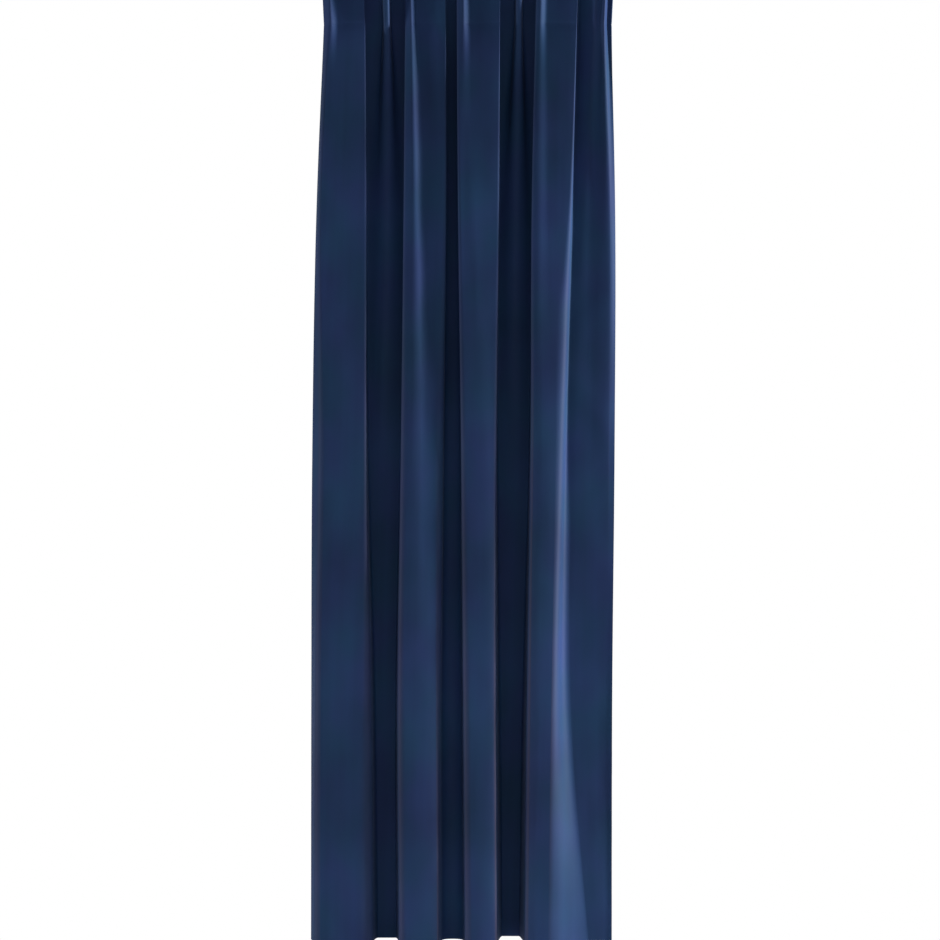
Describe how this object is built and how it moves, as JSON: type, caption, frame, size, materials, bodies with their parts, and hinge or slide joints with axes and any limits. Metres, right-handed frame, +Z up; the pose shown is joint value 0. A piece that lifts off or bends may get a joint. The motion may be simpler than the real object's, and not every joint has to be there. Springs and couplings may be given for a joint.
{
  "type": "velvet curtain panel",
  "caption": "Long velvet curtain panel hanging straight in broad flat-faced folds from a gathered heading, to hang from a pole or track.",
  "frame": {"origin": "middle of the curtain's top edge, halfway across the hanging width and within the depth of its heading folds", "axes": "+X across the curtain to the right as seen from the room, +Z up, +Y away from the room towards the window; the folds' faces look towards -Y"},
  "size_m": [0.7865, 0.1363, 2.44],
  "materials": {
    "velvet": "navy velvet, short dense pile with a soft sheen on the turned edges of the folds"
  },
  "bodies": {
    "root": {"panel": "velvet"}
  },
  "joints": []
}
